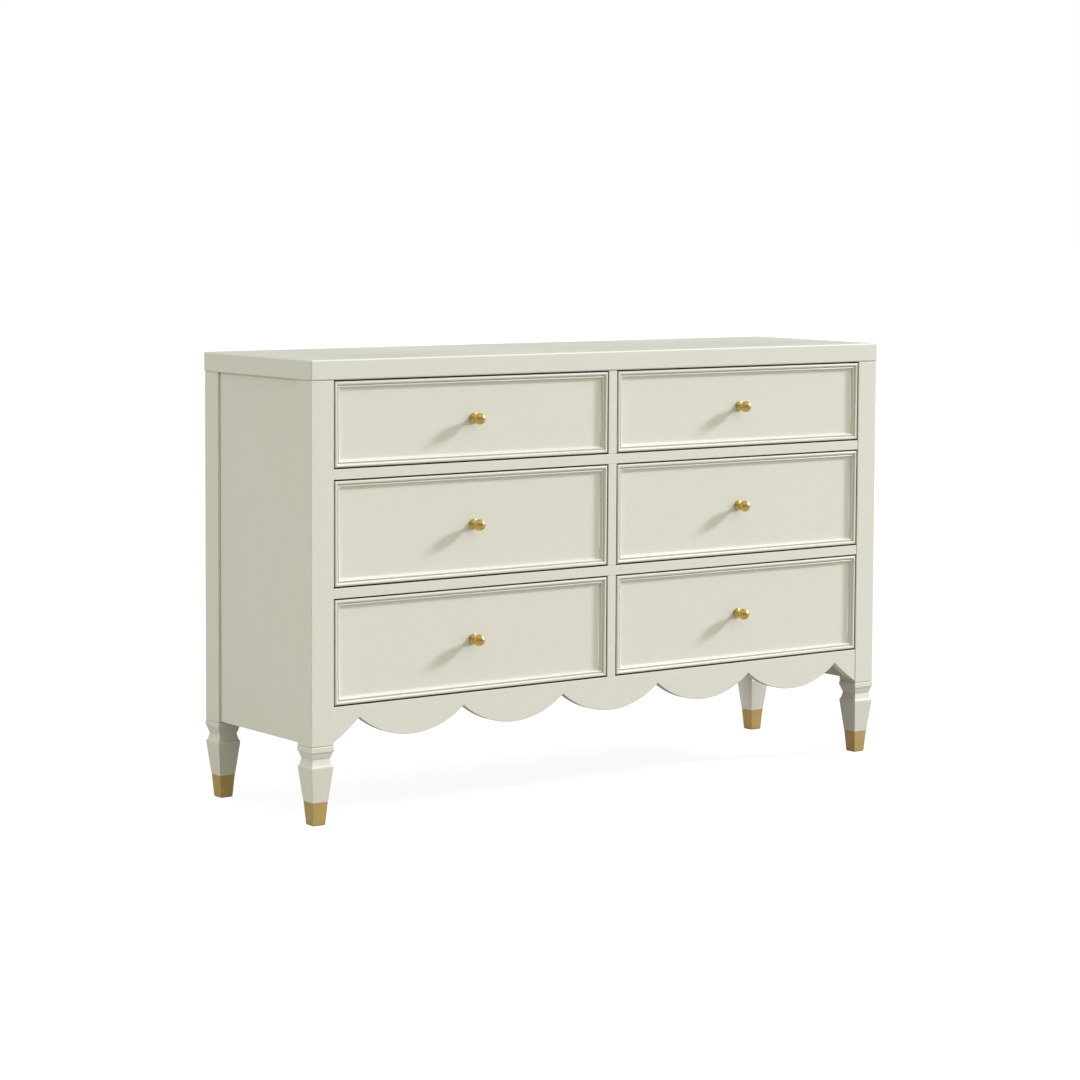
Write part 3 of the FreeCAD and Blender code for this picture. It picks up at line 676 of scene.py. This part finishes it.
def clear_wood(name, early, late, grain_runs, rings, gloss):
    """Clear-finished wood, its grain running upright, across or front to back."""
    wood = bpy.data.materials.new(name)
    wood.use_nodes = True
    tree = wood.node_tree
    shader = tree.nodes["Principled BSDF"]
    place = add_node(tree, "ShaderNodeTexCoord")
    turn = add_node(tree, "ShaderNodeMapping", None, {"Rotation": GRAIN_TURNS[grain_runs]})
    board = add_node(tree, "ShaderNodeGroup", {"node_tree": wood_effect},
                     {"Early Wood": (*early, 1), "Late Wood": (*late, 1), "Ring Scale": rings,
                      "Gloss": gloss})
    bump = add_node(tree, "ShaderNodeBump", None, {"Strength": 0.25, "Distance": 0.0002})
    link = tree.links.new
    link(place.outputs["Object"], turn.inputs["Vector"])
    link(turn.outputs["Vector"], board.inputs["Vector"])
    link(board.outputs["Color"], shader.inputs["Base Color"])
    link(board.outputs["Roughness"], shader.inputs["Roughness"])
    link(board.outputs["Height"], bump.inputs["Height"])
    link(bump.outputs["Normal"], shader.inputs["Normal"])
    return wood


BIRCH_EARLY, BIRCH_LATE = (0.70, 0.53, 0.33), (0.56, 0.39, 0.22)
birch_deep = clear_wood("lacquered_birch_deep", BIRCH_EARLY, BIRCH_LATE, "deep", 16.0, 0.38)
birch_across = clear_wood("lacquered_birch_across", BIRCH_EARLY, BIRCH_LATE, "across", 16.0, 0.38)
pine_deep = clear_wood("planed_pine", (0.74, 0.57, 0.34), (0.60, 0.40, 0.20), "deep", 22.0, 0.55)
plain_board = clear_wood("veneered_board", (0.68, 0.54, 0.37), (0.58, 0.43, 0.27), "across",
                         9.0, 0.5)
back_paint = off_white_lacquer("off_white_back_board", "across")
slide_zinc = metal("zinc_plated_slides", (0.62, 0.63, 0.65), (0.52, 0.53, 0.56), 0.36, 0.12, 0.1,
                   (math.pi / 2, 0, 0))

CARRIED_OVER = {
    "back_panel": back_paint, "bottom_panel": plain_board, "centre_partition": plain_board,
    "back_rails": pine_deep, "side_battens": pine_deep, "top_screws": screw_steel,
    "leg_bolts": screw_steel, "cabinet_slide_members": slide_zinc,
}
for drawer in DRAWERS:
    CARRIED_OVER[drawer + "_box"] = birch_deep
    CARRIED_OVER[drawer + "_bottom"] = birch_across
    CARRIED_OVER[drawer + "_slide_inners"] = slide_zinc
    CARRIED_OVER[drawer + "_slide_middles"] = slide_zinc
for name, material in CARRIED_OVER.items():
    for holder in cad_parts[name].material_slots:
        holder.material = material

# ---- Studio ----------------------------------------------------------------------------
# A white floor under a pale ceiling's light. A key lamp on the right rakes across the
# fronts, and two broad soft lamps fill from behind on the left and from the front.
# A long lens looks from the front left, at chest height.

FLOOR_HALF = 60
floor_mesh = bpy.data.meshes.new("studio_floor")
sweep = bmesh.new()
bmesh.ops.create_grid(sweep, x_segments=1, y_segments=1, size=FLOOR_HALF)
sweep.to_mesh(floor_mesh)
sweep.free()
floor = bpy.data.objects.new("studio_floor", floor_mesh)
bpy.context.scene.collection.objects.link(floor)
floor_paint = bpy.data.materials.new("studio_floor_paint")
floor_paint.use_nodes = True
tree = floor_paint.node_tree
tree.nodes.remove(tree.nodes["Principled BSDF"])
# The camera sees an evenly lit white floor with faint shadows, and mirror-like rays see
# part of that; all other light falls on a plain grey one.
seen = add_node(tree, "ShaderNodeBsdfDiffuse", None, {"Color": (0.18, 0.18, 0.18, 1)})
glow = add_node(tree, "ShaderNodeEmission", None, {"Color": (1, 1, 1, 1), "Strength": 0.9})
lit = add_node(tree, "ShaderNodeAddShader")
bounce = add_node(tree, "ShaderNodeBsdfDiffuse", None, {"Color": (0.36, 0.35, 0.32, 1)})
rays = add_node(tree, "ShaderNodeLightPath")
mirrored = add_node(tree, "ShaderNodeMath", {"operation": "MULTIPLY_ADD"}, {1: 0.22})
choose = add_node(tree, "ShaderNodeMixShader")
link = tree.links.new
link(seen.outputs["BSDF"], lit.inputs[0])
link(glow.outputs["Emission"], lit.inputs[1])
link(rays.outputs["Is Glossy Ray"], mirrored.inputs[0])
link(rays.outputs["Is Camera Ray"], mirrored.inputs[2])
link(mirrored.outputs["Value"], choose.inputs["Fac"])
link(bounce.outputs["BSDF"], choose.inputs[1])
link(lit.outputs["Shader"], choose.inputs[2])
link(choose.outputs["Shader"], tree.nodes["Material Output"].inputs["Surface"])
floor_mesh.materials.append(floor_paint)

world = bpy.data.worlds.new("studio_room")
world.use_nodes = True
bpy.context.scene.world = world
room = world.node_tree
link = room.links.new
walls = room.nodes["Background"]
facing = add_node(room, "ShaderNodeTexCoord")
parts_of_facing = add_node(room, "ShaderNodeSeparateXYZ")
# The room's light is dark at the horizon and below it, and grows to full overhead.
height = add_node(room, "ShaderNodeMapRange", None,
                  {"From Min": 0.0, "From Max": 1.0, "To Min": 0.0, "To Max": 1.0})
shade = add_node(room, "ShaderNodeMix", {"data_type": "RGBA"},
                 {"A": (0.02, 0.02, 0.02, 1), "B": (0.95, 1.035, 0.93, 1)})
link(facing.outputs["Generated"], parts_of_facing.inputs["Vector"])
link(parts_of_facing.outputs["Z"], height.inputs["Value"])
link(height.outputs["Result"], shade.inputs["Factor"])
link(shade.outputs["Result"], walls.inputs["Color"])
bright = add_node(room, "ShaderNodeBackground", None, {"Color": (1, 1, 1, 1), "Strength": 1.0})
rays = add_node(room, "ShaderNodeLightPath")
choose = add_node(room, "ShaderNodeMixShader")
link(rays.outputs["Is Camera Ray"], choose.inputs["Fac"])
link(walls.outputs["Background"], choose.inputs[1])
link(bright.outputs["Background"], choose.inputs[2])
link(choose.outputs["Shader"], room.nodes["World Output"].inputs["Surface"])


LAMPS_AIM = Vector((0, 0, 0.5))


def hang_lamp(name, data, towards, distance, strength, color):
    """Points a lamp at the dresser from a direction, and sets its power and colour."""
    data.energy = strength
    data.color = color
    lamp = bpy.data.objects.new(name, data)
    lamp.location = LAMPS_AIM + Vector(towards).normalized() * distance
    lamp.rotation_euler = Vector(towards).to_track_quat("Z", "Y").to_euler()
    bpy.context.scene.collection.objects.link(lamp)
    return lamp


key = bpy.data.lights.new("key_lamp", "AREA")
key.size = 3.75
hang_lamp("key_lamp", key, (0.87, -0.275, 0.41), 30.0, 10500, (0.796, 0.824, 1.0))
SOFT_LAMPS = (("left_lamp", (-1.0, 0.3, 0.38), 36, 0.97, (1.0, 0.94, 0.93)),
              ("front_lamp", (0.7, -1.0, 0.5), 50, 0.86, (1.0, 0.91, 0.766)))
for name, towards, spread, strength, color in SOFT_LAMPS:
    soft = bpy.data.lights.new(name, "SUN")
    soft.angle = math.radians(spread)
    hang_lamp(name, soft, towards, 5.0, strength, color).visible_glossy = False

camera_data = bpy.data.cameras.new("camera")
camera_data.sensor_width = 36.0
camera_data.lens = 101.47
camera_data.shift_x = -0.00083
camera_data.shift_y = -0.09917
camera = bpy.data.objects.new("camera", camera_data)
CAMERA_PLACE = (-3.9914, -5.3100, 1.2453)
CAMERA_TURN = math.radians(36.61)
CAMERA_TILT = math.radians(4.24)
CAMERA_ROLL = math.radians(0.29)
camera.matrix_world = (Matrix.Translation(CAMERA_PLACE)
                       @ Matrix.Rotation(-CAMERA_TURN, 4, "Z")
                       @ Matrix.Rotation(math.pi / 2 - CAMERA_TILT, 4, "X")
                       @ Matrix.Rotation(CAMERA_ROLL, 4, "Z"))
bpy.context.scene.collection.objects.link(camera)
bpy.context.scene.camera = camera
bpy.context.scene.view_settings.view_transform = "Standard"
